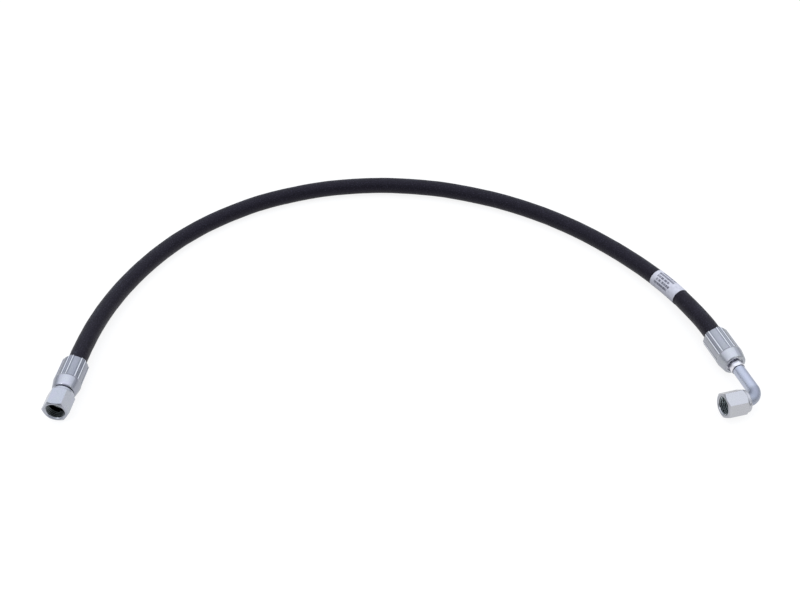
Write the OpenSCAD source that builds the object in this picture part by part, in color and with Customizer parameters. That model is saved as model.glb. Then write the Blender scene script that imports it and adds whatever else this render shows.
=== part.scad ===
// Hydraulic hose assembly: a two-wire-braid rubber hose with a crimped fitting on each end,
// one straight and one with a 90 degree bent tube, both with a swivel nut for a 24 degree cone.
// Millimetres, +Z up. The hose lies on the plane z = 0, the origin is under the middle of the fittings.

/* [Hose] */
// Bore of the hose (nominal size 6)
hose_bore = 6.4; // [6.2:0.1:6.9]
// Outside diameter of the inner rubber tube
inner_tube_od = 9.0; // [8.8:0.1:9.3]
// Outside diameter of the first wire braid
inner_braid_od = 10.0; // [9.8:0.1:10.2]
// Outside diameter of the rubber layer between the braids
friction_od = 10.6; // [10.4:0.1:10.8]
// Outside diameter of the second wire braid
outer_braid_od = 11.6; // [11.2:0.1:11.7]
// Outside diameter of the hose
hose_od = 15.0; // [14.1:0.1:15.4]
// How far the crimp widens the hose bore over the barbs, on the radius
bore_stretch = 0.3; // [0.2:0.05:0.4]
// How far the crimp presses the cover in, on the radius
cover_squeeze = 0.4; // [0.2:0.05:0.5]

/* [Label] */
// Thickness of the wrapped label
label_thick = 0.3; // [0.2:0.05:0.5]

/* [Ferrules] */
// Outside diameter of the uncrimped nose
ferrule_od = 22.0; // [22:0.25:24]
// Diameter over the pressed lands
land_d = 20.6; // [20.2:0.1:21]
// Diameter over the lips left between the dies
lip_d = 21.6; // [21.2:0.1:21.8]
// Width of one lip
lip_w = 0.8; // [0.5:0.1:1.2]
// Gap between the two lips of a pair
lip_gap = 0.9; // [0.5:0.1:1.4]
// Length of the crimped part, straight fitting
crimp_a = 20.5; // [18:0.5:24]
// Length of the crimped part, elbow fitting
crimp_b = 24.0; // [20:0.5:27]
// Length of the nose in front of the crimp
nose_len = 10.8; // [10:0.2:14]
// Diameter of the nose's front face
nose_face_d = 16.0; // [15.6:0.1:17]
// Radius that rounds the nose into its front face
nose_round = 1.6; // [1:0.1:2]
// Diameter of the recess in the nose's front face
recess_d = 14.2; // [13:0.1:14.8]

/* [Inserts] */
// Bore of the inserts
insert_bore = 4.2; // [3.4:0.1:4.6]
// Depth of a barb
barb_depth = 0.35; // [0.2:0.05:0.5]
// Distance from barb to barb
barb_pitch = 3.6; // [3:0.1:4.5]
// Diameter of the groove that the ferrule's lip locks into
lock_d = 8.6; // [8.2:0.1:9]
// Diameter of the elbow insert's collar
collar_d = 11.6; // [11.2:0.1:12.4]
// How far that collar stands out of the ferrule
collar_out = 5.5; // [4:0.5:8]

/* [Elbow] */
// Outside diameter of the bent tube and of the straight insert's neck
tube_od = 10.0; // [9.8:0.1:10.2]
// Bore of the bent tube
tube_bore = 7.0; // [6:0.1:7.4]
// Straight run between the collar and the bend
elbow_leg = 22.5; // [20:0.5:40]
// Radius of the bend on the tube's centre line
bend_r = 10.5; // [10.5:0.5:20]

/* [Swivel nuts] */
// Width across the nut's flats
nut_af = 19.0; // [18.6:0.1:19]
// Length of the nut
nut_len = 20.5; // [20:0.5:24]
// Minor diameter of the M16 x 1.5 thread
thread_d = 14.4; // [14.2:0.1:14.6]
// Length of the threaded wall behind the mouth chamfer
thread_len = 8.0; // [7:0.5:8.5]
// Diameter at the mouth of the thread's chamfer
mouth_d = 16.2; // [16:0.1:16.6]
// Diameter of the relief behind the thread
relief_d = 16.0; // [15.6:0.1:16.4]
// Diameter of the round shoulder behind the hexagon
shoulder_d = 18.2; // [17.6:0.1:18.6]
// Radial clearance of the nut's neck on the tube
swivel_gap = 0.06; // [0.03:0.01:0.1]
// How far the straight insert's hexagon is turned about its axis
nut_a_turn = 24.7; // [0:0.1:60]
// How far the elbow's hexagon is turned about its axis
nut_b_turn = 12.6; // [0:0.1:60]

/* [Cone heads] */
// Diameter of the collar that the nut pulls on
head_d = 13.8; // [13.4:0.1:14]
// Diameter of the cone where it leaves the collar
cone_d = 12.4; // [12:0.1:12.8]
// Length of the 24 degree cone
cone_len = 4.5; // [4:0.1:4.6]
// Thickness of the O-ring
seal_w = 1.5; // [1.2:0.1:1.6]

/* [Lie of the assembly] */
// Straight fitting, X of the ferrule's mouth
a_x = -264; // [-280:1:-250]
// Straight fitting, Y of the ferrule's mouth
a_y = 10; // [0:1:20]
// Straight fitting, turn from -Y towards +X
a_turn = -5; // [-8:0.5:0]
// Elbow fitting, X of the ferrule's mouth
b_x = 257.2; // [245:0.1:270]
// Elbow fitting, Y of the ferrule's mouth
b_y = 43.05; // [30:0.05:50]
// Elbow fitting, turn from -Y towards +X
b_turn = 15.5; // [12:0.5:20]

/* [Hidden] */
$fn = 64;
// gaps between pieces that are assembled with play
play = 0.15;
seat_gap = 0.3;
nut_gap = 0.8;
solder_gap = 0.03;
// crimp: number of dies, how far the mouth's corner is broken, run-out of the dies
dies = 8;
mouth_break = 1.6;
crimp_run = 1.2;
nose_straight = 2.0;
tooth_pitch = 4.0;
tooth_depth = 0.8;
tooth_first = 0.8;
tooth_len = 1.0;
tooth_slope = 0.5;
lip_root = 2.0;
nose_overlap = 0.5;
nose_back = 0.2;
nose_in = 0.4;
// where the hose ends and where the ferrule locks, measured from the crimp's front end
stop_past_crimp = 6.0;
rib_len = 0.8;
lock_len = 2.2;
tail_start = 2.5;
barb_clear = 0.08;
collar_break = 0.3;
// nut
neck_len = 3.5;
mouth_chamfer = (mouth_d - thread_d) / 2;
shoulder_len = 2.8;
shoulder_round = 1.2;
front_face_d = 0.94 * nut_af;
neck_lead = 0.4;
neck_flare = 1.0;
relief_slope = 0.4;
// cone head
head_len = 1.0;
cone_angle = 12;
socket_len = 2.7;
seal_out = 0.45;
braze_leg = 0.6;
stem_socket = 5;
head_bore = 6.0;
head_wall = 0.5;
seal_side = 0.1;
seal_under = 0.03;
tip_break = 0.5;

axis_z = ferrule_od / 2;
hose_r = hose_od / 2;
tube_r = tube_od / 2;
neck_r = tube_r + swivel_gap;
ferrule_a_len = crimp_a + nose_len;
ferrule_b_len = crimp_b + nose_len;
stop_a = crimp_a + stop_past_crimp;
stop_b = crimp_b + stop_past_crimp;
nut_a_rear = ferrule_a_len + nut_gap;
collar_end = ferrule_b_len + collar_out;
bend_start = collar_end + elbow_leg;
nut_b_rear = seat_gap;
// cone head, measured from the nut's rear face
head_rear = neck_len + seat_gap * sqrt(2);
head_front = head_rear + (head_d / 2 - tube_r) + head_len;
cone_tip = head_front + cone_len;
seal_at = head_front + cone_len * 0.45;
seal_mid_r = cone_d / 2 - (seal_at - head_front) * tan(cone_angle) + seal_out - seal_w / 2;
// polygonal hose walls stand inside their circle by this factor
sides = 12;
flat_k = cos(180 / sides);
barb_r = (hose_bore / 2 + bore_stretch) * flat_k - barb_clear;
root_r = barb_r - barb_depth;

// Route of the hose: x, y and how far it is lifted from the table towards the fittings' height
a_out = [sin(a_turn), -cos(a_turn)];
b_out = [sin(b_turn), -cos(b_turn)];
straight_out = 16;
free_route = [
    [-259, 54, 0.83], [-253, 82, 0.54], [-243, 113, 0.23], [-228, 145, 0.03], [-212, 170, 0],
    [-199, 186, 0], [-179, 206, 0], [-148, 229, 0], [-126, 241, 0], [-92, 254, 0], [-68, 260, 0],
    [-34, 264, 0], [-9, 264, 0], [25, 260, 0], [47, 255, 0], [84, 242, 0], [105, 232, 0],
    [132, 216, 0], [156, 198, 0], [174, 182, 0], [200, 154, 0.08], [223, 122, 0.4],
    [238.5, 93.5, 0.74]
];
// station of the route where the label starts; it ends at the next one
label_from = 25;

function lifted(p) = [p[0], p[1], hose_r + p[2] * (axis_z - hose_r)];
function on_axis(x, y, dir, along) = [x + dir[0] * along, y + dir[1] * along, axis_z];
// depths inside the ferrule at which the hose has a ring: its end, the pressed part's edge, the mouth
press_edge = 3.5;
route = concat(
    [on_axis(a_x, a_y, a_out, stop_a), on_axis(a_x, a_y, a_out, press_edge),
     on_axis(a_x, a_y, a_out, 0), on_axis(a_x, a_y, a_out, -straight_out)],
    [for (p = free_route) lifted(p)],
    [on_axis(b_x, b_y, b_out, -straight_out), on_axis(b_x, b_y, b_out, 0),
     on_axis(b_x, b_y, b_out, press_edge), on_axis(b_x, b_y, b_out, stop_b)]
);
last = len(route) - 1;
function pressed(i) = i < 2 || i > last - 2;

// Radii of the layers, free and pressed, from the bore outwards
free_r = [hose_bore / 2, inner_tube_od / 2, inner_braid_od / 2, friction_od / 2, outer_braid_od / 2, hose_r];
function layer_r(k, i) = pressed(i)
    ? free_r[k] + bore_stretch - (bore_stretch + cover_squeeze) * k / 5
    : free_r[k];

function unit(v) = v / norm(v);
function tangent(i) =
    i < 4 ? -[a_out[0], a_out[1], 0] :
    i > last - 4 ? [b_out[0], b_out[1], 0] :
    unit(route[i + 1] - route[i - 1]);
function ring(i, r) =
    let (t = tangent(i), u = unit(cross(t, [0, 0, 1])), v = cross(u, t))
    [for (j = [0 : sides - 1]) route[i] + r * (cos(j * 360 / sides) * u + sin(j * 360 / sides) * v)];

// Closed wall between an inner and an outer ring at each station of the route
module swept_wall(inner, outer) {
    n = len(inner);
    points = concat([for (loop = outer, p = loop) p], [for (loop = inner, p = loop) p]);
    o = n * sides;
    faces = concat(
        [for (i = [0 : n - 2], j = [0 : sides - 1]) let (k = (j + 1) % sides)
            each [[i * sides + j, i * sides + k, (i + 1) * sides + k],
                  [i * sides + j, (i + 1) * sides + k, (i + 1) * sides + j],
                  [o + i * sides + k, o + i * sides + j, o + (i + 1) * sides + k],
                  [o + (i + 1) * sides + k, o + i * sides + j, o + (i + 1) * sides + j]]],
        [for (j = [0 : sides - 1]) let (k = (j + 1) % sides, e = (n - 1) * sides)
            each [[o + j, o + k, k], [o + j, k, j],
                  [e + j, e + k, o + e + k], [e + j, o + e + k, o + e + j]]]
    );
    polyhedron(points, faces, convexity = 10);
}

module hose_layer(k) {
    swept_wall([for (i = [0 : last]) ring(i, layer_r(k, i))],
               [for (i = [0 : last]) ring(i, layer_r(k + 1, i))]);
}

module hose_inner_tube() color("#2b2b2b") hose_layer(0);
module hose_inner_braid() color("#b09a5c") hose_layer(1);
module hose_friction_layer() color("#333333") hose_layer(2);
module hose_outer_braid() color("#b09a5c") hose_layer(3);
module hose_cover() color("#1b1c20") hose_layer(4);

module label_sleeve() color("#dcdce4")
    swept_wall([for (i = [label_from, label_from + 1]) ring(i, hose_r)],
               [for (i = [label_from, label_from + 1]) ring(i, hose_r + label_thick)]);

// Frames of the fittings: +Z runs along the fitting from the ferrule's mouth to its front
module on_fitting_a() translate([a_x, a_y, axis_z]) rotate([0, 0, a_turn - 90]) rotate([0, 90, 0]) children();
module on_fitting_b() translate([b_x, b_y, axis_z]) rotate([0, 0, b_turn - 90]) rotate([0, 90, 0]) children();
module on_nut_a() on_fitting_a() translate([0, 0, nut_a_rear]) children();
module on_outlet() on_fitting_b() translate([0, -bend_r, bend_start + bend_r]) rotate([90, 0, 0]) children();
module on_nut_b() on_outlet() translate([0, 0, nut_b_rear]) children();

// Quarter round as points [radius, height], centre (r, z), from angle a0 to a1
function arc(r, z, size, a0, a1, steps = 6) =
    [for (i = [0 : steps]) let (a = a0 + (a1 - a0) * i / steps) [r + size * cos(a), z + size * sin(a)]];

module ferrule(crimp_l) {
    nose_r = ferrule_od / 2;
    total = crimp_l + nose_len;
    stop = crimp_l + stop_past_crimp;
    cone_r = nose_face_d / 2 + nose_round;
    teeth = floor((stop - press_edge - tooth_first - tooth_len) / tooth_pitch);
    tooth_r = hose_r - cover_squeeze + play;
    lock_r = lock_d / 2 + play;
    difference() {
        union() {
            intersection() {
                union() {
                    cylinder(d = land_d, h = crimp_l + nose_overlap);
                    for (i = [0 : dies - 1], s = [-1, 1])
                        rotate([0, 0, (i + 0.5) * 360 / dies])
                            translate([land_d / 2 - lip_root, s * (lip_w + lip_gap) / 2 - lip_w / 2, 0])
                                cube([(lip_d - land_d) / 2 + lip_root, lip_w, crimp_l + nose_overlap]);
                }
                cylinder(r1 = lip_d / 2 - mouth_break / 2, r2 = lip_d / 2 + crimp_l, h = crimp_l + mouth_break / 2);
            }
            rotate_extrude() polygon(concat(
                [[lock_r, crimp_l - nose_back], [land_d / 2 - nose_in, crimp_l - nose_back],
                 [nose_r, crimp_l + crimp_run], [nose_r, crimp_l + nose_straight]],
                arc(nose_face_d / 2, total - nose_round, nose_round, 15, 90),
                [[lock_r, total]]));
        }
        rotate_extrude() polygon(concat(
            [[0, -1], [hose_r + play, -1], [hose_r + play, press_edge]],
            [for (i = [0 : teeth - 1]) let (z = press_edge + tooth_first + i * tooth_pitch)
                each [[tooth_r, z], [tooth_r, z + tooth_len],
                      [tooth_r + tooth_depth, z + tooth_len + tooth_slope],
                      [tooth_r + tooth_depth, z + tooth_pitch - tooth_slope]]],
            [[tooth_r, stop - tooth_slope], [tooth_r, stop + play], [tube_r + play, stop + rib_len + play],
             [lock_r, stop + rib_len + play], [lock_r, stop + rib_len + lock_len - play],
             [recess_d / 2, stop + rib_len + lock_len - play], [recess_d / 2, total + 1], [0, total + 1]]));
    }
}

// Outline of an insert's barbed tail, from its tip to the rib that the hose butts against
function tail(stop) =
    let (n = floor((stop - tail_start) / barb_pitch) - 1, z0 = stop - rib_len - n * barb_pitch)
    concat([[root_r - barb_depth / 2, tail_start], [root_r, tail_start + barb_depth]],
        [for (i = [0 : n - 1]) let (z = z0 + i * barb_pitch)
            each [[root_r, z], [barb_r, z + barb_pitch * 0.75], [barb_r, z + barb_pitch * 0.85],
                  [root_r, z + barb_pitch * 0.9]]],
        [[root_r, stop], [tube_r, stop], [tube_r, stop + rib_len],
         [lock_d / 2, stop + rib_len], [lock_d / 2, stop + rib_len + lock_len]]);

// Outline of the cone head in front of the radius r0, measured from the nut's rear face
function cone_head(r0) = let (
        groove = seal_w / 2 + seal_side, root = seal_mid_r - seal_w / 2 - seal_under,
        at = function (z) cone_d / 2 - (z - head_front) * tan(cone_angle))
    [[r0, head_rear + r0 - tube_r], [head_d / 2, head_rear + head_d / 2 - tube_r],
     [head_d / 2, head_front], [cone_d / 2, head_front],
     [at(seal_at - groove), seal_at - groove], [root, seal_at - groove],
     [root, seal_at + groove], [at(seal_at + groove), seal_at + groove],
     [at(cone_tip - tip_break), cone_tip - tip_break], [at(cone_tip) - tip_break, cone_tip]];

function raised(points, dz) = [for (p = points) [p[0], p[1] + dz]];

module cone_seal() translate([0, 0, seal_at]) rotate_extrude() translate([seal_mid_r, 0]) circle(d = seal_w, $fn = 32);

module swivel_nut(turn) {
    corner_r = nut_af / 2 / cos(30);
    relief_end = nut_len - mouth_chamfer - thread_len;
    front_r = front_face_d / 2;
    shoulder_r = shoulder_d / 2;
    difference() {
        intersection() {
            rotate([0, 0, turn]) cylinder(r = corner_r, h = nut_len, $fn = 6);
            rotate_extrude() polygon(concat(
                [[0, 0]],
                arc(shoulder_r - shoulder_round, shoulder_round, shoulder_round, -90, 0),
                [[shoulder_r, shoulder_len], [corner_r + 0.1, shoulder_len + (corner_r + 0.1 - shoulder_r)],
                 [corner_r + 0.1, nut_len - (corner_r + 0.1 - front_r) * tan(30)],
                 [front_r, nut_len], [0, nut_len]]));
        }
        rotate_extrude() polygon([
            [0, -1], [neck_r + neck_lead + neck_flare, -1], [neck_r + neck_lead, 0],
            [neck_r, neck_lead], [neck_r, neck_len],
            [relief_d / 2, neck_len + relief_d / 2 - neck_r], [relief_d / 2, relief_end - relief_slope],
            [thread_d / 2, relief_end], [thread_d / 2, nut_len - mouth_chamfer],
            [mouth_d / 2, nut_len], [mouth_d / 2, nut_len + 1], [0, nut_len + 1]]);
    }
}

module ferrule_a() color("#b4b8c6") on_fitting_a() ferrule(crimp_a);
module ferrule_b() color("#b4b8c6") on_fitting_b() ferrule(crimp_b);

module insert_a() color("#c6c9d4") on_fitting_a() rotate_extrude() polygon(concat(
    [[insert_bore / 2, tail_start]], tail(stop_a), [[tube_r, stop_a + rib_len + lock_len]],
    raised(cone_head(tube_r), nut_a_rear), [[insert_bore / 2, nut_a_rear + cone_tip]]));
module cone_seal_a() color("#202020") on_nut_a() cone_seal();
module swivel_nut_a() color("#bcc2d2") on_nut_a() swivel_nut(nut_a_turn);

module insert_b() color("#c6c9d4") on_fitting_b() rotate_extrude() polygon(concat(
    [[insert_bore / 2, tail_start]], tail(stop_b),
    [[collar_d / 2, stop_b + rib_len + lock_len], [collar_d / 2, collar_end - collar_break],
     [collar_d / 2 - collar_break, collar_end],
     [tube_r + solder_gap, collar_end], [tube_r + solder_gap, collar_end - stem_socket],
     [insert_bore / 2, collar_end - stem_socket]]));

module elbow_run(r, over) {
    translate([0, 0, collar_end - stem_socket - over]) cylinder(r = r, h = elbow_leg + stem_socket + over);
    translate([0, -bend_r, bend_start]) rotate([90, 0, 90])
        rotate_extrude(angle = 90) translate([bend_r, 0]) circle(r = r);
    translate([0, -bend_r, bend_start + bend_r]) rotate([90, 0, 0])
        cylinder(r = r, h = nut_b_rear + head_rear + socket_len + over);
}
module elbow_tube() color("#bcc2d6") on_fitting_b() difference() {
    elbow_run(tube_r, 0);
    elbow_run(tube_bore / 2, 1);
}
module braze_fillet() rotate_extrude()
    polygon([[tube_r + solder_gap, 0], [tube_r + braze_leg, 0], [tube_r + solder_gap, braze_leg]]);
module stem_braze() color("#a9adba") on_fitting_b() translate([0, 0, collar_end]) braze_fillet();

module cone_head_b() color("#c6c9d4") on_nut_b() rotate_extrude() polygon(concat(
    cone_head(tube_r + head_wall),
    [[head_bore / 2, cone_tip], [head_bore / 2, head_rear + socket_len + play],
     [tube_r + solder_gap, head_rear + socket_len + play], [tube_r + solder_gap, head_rear + head_wall]]));
module cone_seal_b() color("#202020") on_nut_b() cone_seal();
module swivel_nut_b() color("#bcc2d2") on_nut_b() swivel_nut(nut_b_turn);

hose_inner_tube();
hose_inner_braid();
hose_friction_layer();
hose_outer_braid();
hose_cover();
label_sleeve();
ferrule_a();
insert_a();
cone_seal_a();
swivel_nut_a();
ferrule_b();
insert_b();
elbow_tube();
stem_braze();
cone_head_b();
cone_seal_b();
swivel_nut_b();
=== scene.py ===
"""A hydraulic hose assembly: hose, wrap label, two crimped ferrules, a bent tube and two swivel nuts."""

from math import atan2, cos, degrees, exp, hypot, pi, radians, sin, tan, tau

import bmesh
import bpy
from mathutils import Matrix, Vector


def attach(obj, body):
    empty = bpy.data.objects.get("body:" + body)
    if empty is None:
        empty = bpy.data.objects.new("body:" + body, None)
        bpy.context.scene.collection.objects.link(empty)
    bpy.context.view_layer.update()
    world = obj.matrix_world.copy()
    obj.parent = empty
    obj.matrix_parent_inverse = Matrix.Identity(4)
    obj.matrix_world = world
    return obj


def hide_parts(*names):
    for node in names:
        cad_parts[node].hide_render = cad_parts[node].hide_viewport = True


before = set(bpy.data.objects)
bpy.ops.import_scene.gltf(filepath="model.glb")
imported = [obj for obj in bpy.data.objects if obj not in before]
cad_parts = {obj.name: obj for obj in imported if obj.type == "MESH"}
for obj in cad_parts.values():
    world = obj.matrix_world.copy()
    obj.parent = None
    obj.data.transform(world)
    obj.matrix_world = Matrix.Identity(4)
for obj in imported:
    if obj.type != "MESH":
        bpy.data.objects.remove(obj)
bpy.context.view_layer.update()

# ---------------------------------------------------------------- sizes in mm, as the solids have them
MM = 0.001
AXIS_Z = 11.0
HOSE_R = 7.5
PRESSED_R = 7.1
TUBE_R = 5.0
# the last entry of each end gives the angles, in degrees, between which its ferrule's nose keeps a painted
# highlight; the rest of the nose is painted darker
STRAIGHT_END = dict(x=-264.0, y=10.0, turn=-5.0, crimp=20.5, dies_turn=38.5, painted_highlight_angles=(133, 201))
ELBOW_END = dict(x=257.2, y=43.05, turn=15.5, crimp=24.0, dies_turn=24.0, painted_highlight_angles=(174, 238))
NOSE_LEN = 10.8
STOP_PAST_CRIMP = 6.0
PRESS_EDGE = 3.5
STRAIGHT_OUT, STRAIGHT_IN = 16.0, 8.0
NUT_GAP = 0.8
SEAT_GAP = 0.3
COLLAR_OUT = 5.5
ELBOW_LEG = 22.5
BEND_R = 10.5
STEM_SOCKET = 5.0
COLLAR_AF, COLLAR_R, COLLAR_CORNER, COLLAR_TURN = 10.8, 5.8, 0.35, 45.0
NUT_AF, NUT_LEN = 19.0, 20.5
NUT_TURN = dict(a=24.7, b=12.6)

NUT_REAR = STRAIGHT_END["crimp"] + NOSE_LEN + NUT_GAP
COLLAR_END = ELBOW_END["crimp"] + NOSE_LEN + COLLAR_OUT
BEND_START = COLLAR_END + ELBOW_LEG

# hose route between the ferrules: x, y and the lift from the table towards the fittings' height
ROUTE = [
    (-259, 54, .83), (-253, 82, .54), (-243, 113, .23), (-228, 145, .03), (-212, 170, 0), (-199, 186, 0),
    (-179, 206, 0), (-148, 229, 0), (-126, 241, 0), (-92, 254, 0), (-68, 260, 0), (-34, 264, 0), (-9, 264, 0),
    (25, 260, 0), (47, 255, 0), (84, 242, 0), (105, 232, 0), (132, 216, 0), (156, 198, 0), (174, 182, 0),
    (200, 154, .08), (223, 122, .4), (238.5, 93.5, .74),
]
LABEL_START, LABEL_END = (223, 122), (238.5, 93.5)


# ---------------------------------------------------------------- camera
FRAME_WIDTH, FOCAL_LENGTH = 800, 1105  # in pixels
SENSOR = 36
EYE, LOOKS_DOWN = (-0.0031, -0.6271, 0.6335), 41


def set_camera():
    data = bpy.data.cameras.new("camera")
    data.sensor_width = SENSOR
    data.lens = FOCAL_LENGTH / FRAME_WIDTH * SENSOR
    data.clip_start, data.clip_end = 0.01, 20
    camera = bpy.data.objects.new("camera", data)
    camera.location = EYE
    camera.rotation_euler = (radians(90 - LOOKS_DOWN), 0, 0)
    bpy.context.scene.collection.objects.link(camera)
    bpy.context.scene.camera = camera


# ---------------------------------------------------------------- where the fittings lie
def fitting_place(end):
    """Local +Z runs from the ferrule's mouth to the fitting's front, as in the solids."""
    return (Matrix.Translation((end["x"], end["y"], AXIS_Z))
            @ Matrix.Rotation(radians(end["turn"] - 90), 4, "Z") @ Matrix.Rotation(radians(90), 4, "Y"))


PLACE_A = fitting_place(STRAIGHT_END)
PLACE_B = fitting_place(ELBOW_END)
NUT_A_PLACE = PLACE_A @ Matrix.Translation((0, 0, NUT_REAR))
NUT_B_PLACE = (PLACE_B @ Matrix.Translation((0, -BEND_R, BEND_START + BEND_R))
               @ Matrix.Rotation(radians(90), 4, "X") @ Matrix.Translation((0, 0, SEAT_GAP)))


# ---------------------------------------------------------------- mesh helpers
def finish_piece(name, bm, place, material, body="hose_assembly", stands_for=(), sharp=32,
                 weighted=False):
    """Turns a shape made in millimetres on its own axis into a piece in the row's frame."""
    bmesh.ops.remove_doubles(bm, verts=bm.verts, dist=1e-4)
    bmesh.ops.recalc_face_normals(bm, faces=bm.faces)
    own = bm.verts.layers.float_vector.new("own_mm")
    for v in bm.verts:
        v[own] = v.co
    mesh = bpy.data.meshes.new(name)
    bm.to_mesh(mesh)
    bm.free()
    mesh.transform(Matrix.Scale(MM, 4) @ place)
    mesh.polygons.foreach_set("use_smooth", [True] * len(mesh.polygons))
    mesh.set_sharp_from_angle(angle=radians(sharp))
    mesh.materials.append(material)
    piece = bpy.data.objects.new(name, mesh)
    bpy.context.scene.collection.objects.link(piece)
    if weighted:
        flat = piece.modifiers.new("flat faces stay flat", "WEIGHTED_NORMAL")
        flat.keep_sharp = True
        flat.weight = 90
    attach(piece, body)
    if stands_for:
        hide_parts(*stands_for)
    return piece


def turned(outline, steps=96):
    """A closed outline of (radius, height) points revolved about the z axis."""
    bm = bmesh.new()
    ring = [bm.verts.new((r, 0, z)) for r, z in outline]
    edges = [bm.edges.new((v, ring[(i + 1) % len(ring)])) for i, v in enumerate(ring)]
    bmesh.ops.spin(bm, geom=ring + edges, cent=(0, 0, 0), axis=(0, 0, 1), dvec=(0, 0, 0),
                   angle=tau, steps=steps, use_merge=True, use_duplicate=False)
    bmesh.ops.remove_doubles(bm, verts=bm.verts, dist=1e-4)
    bmesh.ops.recalc_face_normals(bm, faces=bm.faces)
    return bm


def arc(r, z, size, a0, a1, steps):
    """Points round (r, z) at the distance `size`, from a0 to a1 degrees."""
    angles = [radians(a0 + (a1 - a0) * i / steps) for i in range(steps + 1)]
    return [(r + size * cos(a), z + size * sin(a)) for a in angles]


def levels(low, high, step):
    """Evenly spaced heights from `low` to `high`, about `step` apart."""
    n = max(1, round((high - low) / step))
    return [low + (high - low) * i / n for i in range(n + 1)]


def soften(bm, width, over, segments=2):
    """Breaks every edge whose faces meet at more than `over` degrees."""
    sharp = [e for e in bm.edges if e.is_manifold and e.calc_face_angle(0) > radians(over)]
    bmesh.ops.bevel(bm, geom=sharp, offset=width, offset_type="OFFSET", affect="EDGES", segments=segments,
                    profile=0.5, material=-1, clamp_overlap=True)


def cut_flats(bm, across, turn):
    """Cuts six flats on a turned shape and closes them."""
    for k in range(6):
        a = radians(turn + 30 + 60 * k)
        face = Vector((cos(a), sin(a), 0))
        cut = bmesh.ops.bisect_plane(bm, geom=bm.verts[:] + bm.edges[:] + bm.faces[:], dist=1e-5,
                                     plane_co=face * across / 2, plane_no=face, clear_outer=True)["geom_cut"]
        bmesh.ops.holes_fill(bm, edges=edges_in(cut), sides=0)
    bmesh.ops.remove_doubles(bm, verts=bm.verts, dist=1e-3)
    bmesh.ops.recalc_face_normals(bm, faces=bm.faces)


def verts_in(geom):
    return [g for g in geom if isinstance(g, bmesh.types.BMVert)]


def edges_in(geom):
    return [g for g in geom if isinstance(g, bmesh.types.BMEdge)]


def drawn_on(bm, geom):
    """Extrudes an open ring and gives the vertices and the edges of the new one."""
    out = bmesh.ops.extrude_edge_only(bm, edges=edges_in(geom))["geom"]
    verts = verts_in(out)
    return verts, [e for e in edges_in(out) if all(v in verts for v in e.verts)]


def smooth_step(x):
    """Nought below 0, one above 1, and a smooth rise between them."""
    x = min(1.0, max(0.0, x))
    return x * x * (3 - 2 * x)


# ---------------------------------------------------------------- hose
POINTS_PER_KNOT, EVENING_PASSES = 24, 60


def hose_path(step=0.8):
    """The hose's centre line as evenly spaced points with directions, from one stop to the other."""
    def on_axis(end, along):
        a = radians(end["turn"])
        return Vector((end["x"] + sin(a) * along, end["y"] - cos(a) * along, AXIS_Z))

    def lifted(p):
        return Vector((p[0], p[1], HOSE_R + p[2] * (AXIS_Z - HOSE_R)))

    a, b = STRAIGHT_END, ELBOW_END
    knots = ([on_axis(a, run) for run in (a["crimp"] + STOP_PAST_CRIMP, STRAIGHT_IN, 0, -STRAIGHT_OUT)]
             + [lifted(p) for p in ROUTE]
             + [on_axis(b, run) for run in (-STRAIGHT_OUT, 0, STRAIGHT_IN, b["crimp"] + STOP_PAST_CRIMP)])
    padded = [knots[0] * 2 - knots[1]] + knots + [knots[-1] * 2 - knots[-2]]
    fine = []
    for p0, p1, p2, p3 in zip(padded, padded[1:], padded[2:], padded[3:]):
        # centripetal Catmull-Rom through p1 and p2
        t1 = (p1 - p0).length ** 0.5
        t2 = t1 + (p2 - p1).length ** 0.5
        t3 = t2 + (p3 - p2).length ** 0.5
        for i in range(POINTS_PER_KNOT):
            t = t1 + (t2 - t1) * i / POINTS_PER_KNOT
            a1 = p0 * ((t1 - t) / t1) + p1 * (t / t1)
            a2 = p1 * ((t2 - t) / (t2 - t1)) + p2 * ((t - t1) / (t2 - t1))
            a3 = p2 * ((t3 - t) / (t3 - t2)) + p3 * ((t - t2) / (t3 - t2))
            b1 = a1 * ((t2 - t) / t2) + a2 * (t / t2)
            b2 = a2 * ((t3 - t) / (t3 - t1)) + a3 * ((t - t1) / (t3 - t1))
            fine.append(b1 * ((t2 - t) / (t2 - t1)) + b2 * ((t - t1) / (t2 - t1)))
    fine.append(knots[-1])
    for _ in range(EVENING_PASSES):  # evens out the small wobble that the listed points leave in the curve
        inner = [fine[i] * 0.5 + (fine[i - 1] + fine[i + 1]) * 0.25 for i in range(1, len(fine) - 1)]
        fine = [fine[0], *inner, fine[-1]]
    run = [0.0]
    for p, q in zip(fine, fine[1:]):
        run.append(run[-1] + (q - p).length)
    count = round(run[-1] / step)
    path, k = [], 0
    for i in range(count + 1):
        s = run[-1] * i / count
        while k < len(run) - 2 and run[k + 1] < s:
            k += 1
        path.append(fine[k].lerp(fine[k + 1], (s - run[k]) / (run[k + 1] - run[k])))
    return path, run[-1]


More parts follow.
